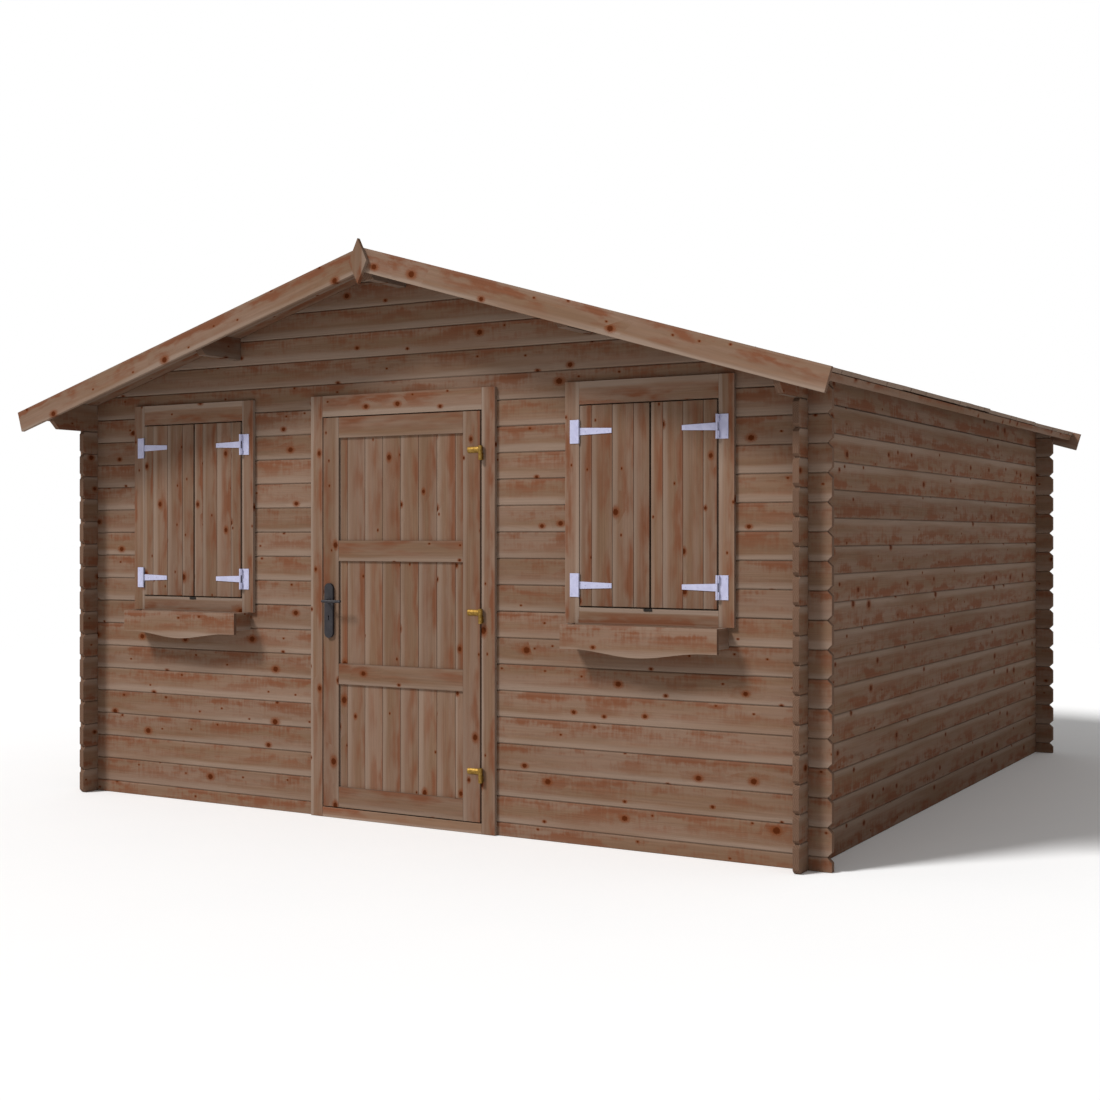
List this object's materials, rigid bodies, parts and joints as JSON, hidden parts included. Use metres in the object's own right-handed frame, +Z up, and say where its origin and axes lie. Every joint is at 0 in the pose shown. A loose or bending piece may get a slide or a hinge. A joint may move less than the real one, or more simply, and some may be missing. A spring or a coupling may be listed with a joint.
{
  "type": "log garden house",
  "caption": "Square log garden house with notched corners, a low gable roof on purlins, a panelled door between shuttered windows, and flower boxes.",
  "frame": {"origin": "on the ground, at the centre of the whole part's plan", "axes": "+Z up; -Y is the front with the door; +X is to the right seen from the front"},
  "size_m": [4.4088, 4.6, 2.6685],
  "materials": {
    "log_wood": "stained softwood, satin",
    "trim_wood": "stained softwood, satin",
    "frame_wood": "stained softwood, satin",
    "roof_wood": "stained softwood boards",
    "clear_glass": "clear",
    "white_metal": "white paint, satin",
    "brass": "polished",
    "dark_metal": "dark grey paint, satin"
  },
  "bodies": {
    "house": {"front_wall_left_base": "log_wood", "front_wall_left_piers": "log_wood", "front_wall_right_base": "log_wood", "front_wall_right_piers": "log_wood", "front_gable": "log_wood", "rear_wall": "log_wood", "rear_gable": "log_wood", "left_wall": "log_wood", "right_wall": "log_wood", "eave_log_left": "log_wood", "eave_log_right": "log_wood", "ridge_purlin": "log_wood", "purlin_left": "log_wood", "purlin_right": "log_wood", "roof_left": "roof_wood", "roof_right": "roof_wood", "eave_battens": "trim_wood", "barge_front_left": "trim_wood", "barge_front_right": "trim_wood", "barge_rear_left": "trim_wood", "barge_rear_right": "trim_wood", "finials": "trim_wood", "door_frame": "frame_wood", "door_casing": "trim_wood", "door_hinge_posts": "brass", "window_casings": "trim_wood", "window_frames": "frame_wood", "window_glass": "clear_glass", "shutter_hinge_plates": "white_metal", "shutter_stops": "dark_metal", "flower_box_left": "trim_wood", "flower_box_right": "trim_wood"},
    "door": {"door_leaf": "frame_wood", "door_panels": "frame_wood", "door_lock_plate": "dark_metal", "door_hinge_leaves": "brass"},
    "door_lever_arm": {"door_lever": "dark_metal"},
    "shutter_left_outer_leaf": {"shutter_left_outer": "frame_wood", "straps_left_outer": "white_metal"},
    "shutter_left_inner_leaf": {"shutter_left_inner": "frame_wood", "straps_left_inner": "white_metal"},
    "shutter_right_inner_leaf": {"shutter_right_inner": "frame_wood", "straps_right_inner": "white_metal"},
    "shutter_right_outer_leaf": {"shutter_right_outer": "frame_wood", "straps_right_outer": "white_metal"}
  },
  "joints": [
    {"name": "door_hinge", "type": "hinge", "parent": "house", "child": "door", "pos_m": [0.454, -1.992, 0.98], "axis": [0, 0, 1], "range_deg": [0, 110]},
    {"name": "door_lever_turn", "type": "hinge", "parent": "door", "child": "door_lever_arm", "pos_m": [-0.403, -1.993, 1.031], "axis": [0, 1, 0], "range_deg": [0, 35], "stiffness_Nm_per_rad": 1, "springref_deg": -17.19},
    {"name": "shutter_left_outer_hinge", "type": "hinge", "parent": "house", "child": "shutter_left_outer_leaf", "pos_m": [-1.6055, -1.99, 1.4675], "axis": [0, 0, -1], "range_deg": [0, 170]},
    {"name": "shutter_left_inner_hinge", "type": "hinge", "parent": "house", "child": "shutter_left_inner_leaf", "pos_m": [-0.9545, -1.99, 1.4675], "axis": [0, 0, 1], "range_deg": [0, 170]},
    {"name": "shutter_right_inner_hinge", "type": "hinge", "parent": "house", "child": "shutter_right_inner_leaf", "pos_m": [0.9545, -1.99, 1.4675], "axis": [0, 0, -1], "range_deg": [0, 170]},
    {"name": "shutter_right_outer_hinge", "type": "hinge", "parent": "house", "child": "shutter_right_outer_leaf", "pos_m": [1.6055, -1.99, 1.4675], "axis": [0, 0, 1], "range_deg": [0, 170]}
  ]
}
